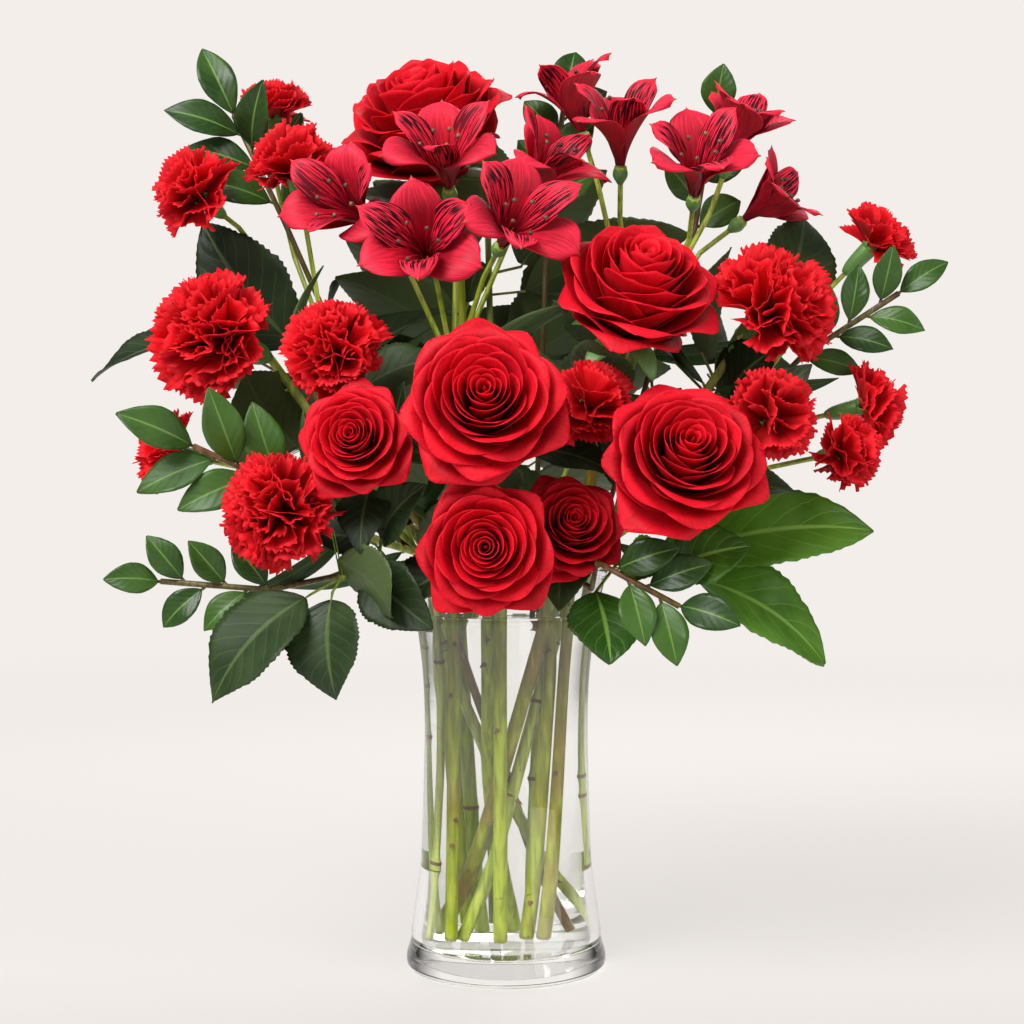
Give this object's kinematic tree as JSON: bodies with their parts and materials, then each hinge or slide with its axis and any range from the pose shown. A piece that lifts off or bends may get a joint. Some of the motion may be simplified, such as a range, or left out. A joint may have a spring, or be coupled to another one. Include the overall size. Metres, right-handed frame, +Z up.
{
  "type": "vase of roses and mixed red flowers",
  "caption": "Red roses, carnations and alstroemeria with mixed green foliage, standing in a waisted clear glass vase of water.",
  "frame": {"origin": "centre of the underside of the vase's foot", "axes": "+Z up the vase, -Y towards the side that the bouquet faces, +X to its right as seen from there"},
  "size_m": [0.4259, 0.2598, 0.4778],
  "materials": {
    "rose_petal": "velvety, deep red, paler on lit edges",
    "carnation_petal": "matt, ruffled, bright red",
    "alstroemeria_petal": "satin, red with fine dark streaks",
    "rose_stem_green": "satin plant stem, green to olive, dark serrated leaves",
    "carnation_green": "waxy pale green, swollen joints",
    "alstroemeria_green": "satin fresh green",
    "twig_foliage": "small glossy dark leaves on a red-brown twig",
    "broad_foliage": "large leathery leaves with pale veins",
    "clear_glass": "clear, smooth",
    "water": "clear water"
  },
  "bodies": {
    "root": {"alstroemeria_left_front": "alstroemeria_petal", "alstroemeria_left_inner": "alstroemeria_petal", "alstroemeria_left_outer": "alstroemeria_petal", "alstroemeria_left_rear": "alstroemeria_petal", "alstroemeria_left_stem": "alstroemeria_green", "alstroemeria_left_upper": "alstroemeria_petal", "alstroemeria_right_front": "alstroemeria_petal", "alstroemeria_right_inner": "alstroemeria_petal", "alstroemeria_right_outer": "alstroemeria_petal", "alstroemeria_right_rear": "alstroemeria_petal", "alstroemeria_right_stem": "alstroemeria_green", "alstroemeria_right_upper": "alstroemeria_petal", "branch_left": "broad_foliage", "branch_low_left": "broad_foliage", "branch_low_right": "broad_foliage", "branch_rear": "broad_foliage", "branch_right": "broad_foliage", "carnation_left": "carnation_petal", "carnation_left_stem": "carnation_green", "carnation_low_left": "carnation_petal", "carnation_low_left_stem": "carnation_green", "carnation_right": "carnation_petal", "carnation_right_stem": "carnation_green", "rose_centre": "rose_petal", "rose_centre_stem": "rose_stem_green", "rose_left": "rose_petal", "rose_left_stem": "rose_stem_green", "rose_low": "rose_petal", "rose_low_right": "rose_petal", "rose_low_right_stem": "rose_stem_green", "rose_low_stem": "rose_stem_green", "rose_right": "rose_petal", "rose_right_stem": "rose_stem_green", "rose_top": "rose_petal", "rose_top_stem": "rose_stem_green", "rose_upper_right": "rose_petal", "rose_upper_right_stem": "rose_stem_green", "spray_left_front": "carnation_petal", "spray_left_outer": "carnation_petal", "spray_left_stem": "carnation_green", "spray_middle_front": "carnation_petal", "spray_middle_stem": "carnation_green", "spray_right_front": "carnation_petal", "spray_right_lower": "carnation_petal", "spray_right_side": "carnation_petal", "spray_right_stem": "carnation_green", "spray_right_upper": "carnation_petal", "spray_top_left_inner": "carnation_petal", "spray_top_left_outer": "carnation_petal", "spray_top_left_stem": "carnation_green", "spray_top_left_upper": "carnation_petal", "twig_left": "twig_foliage", "twig_low_left": "twig_foliage", "twig_low_right": "twig_foliage", "twig_right": "twig_foliage", "twig_top": "twig_foliage", "twig_top_left": "twig_foliage", "twig_top_right": "twig_foliage", "vase": "clear_glass", "water": "water"}
  },
  "joints": []
}
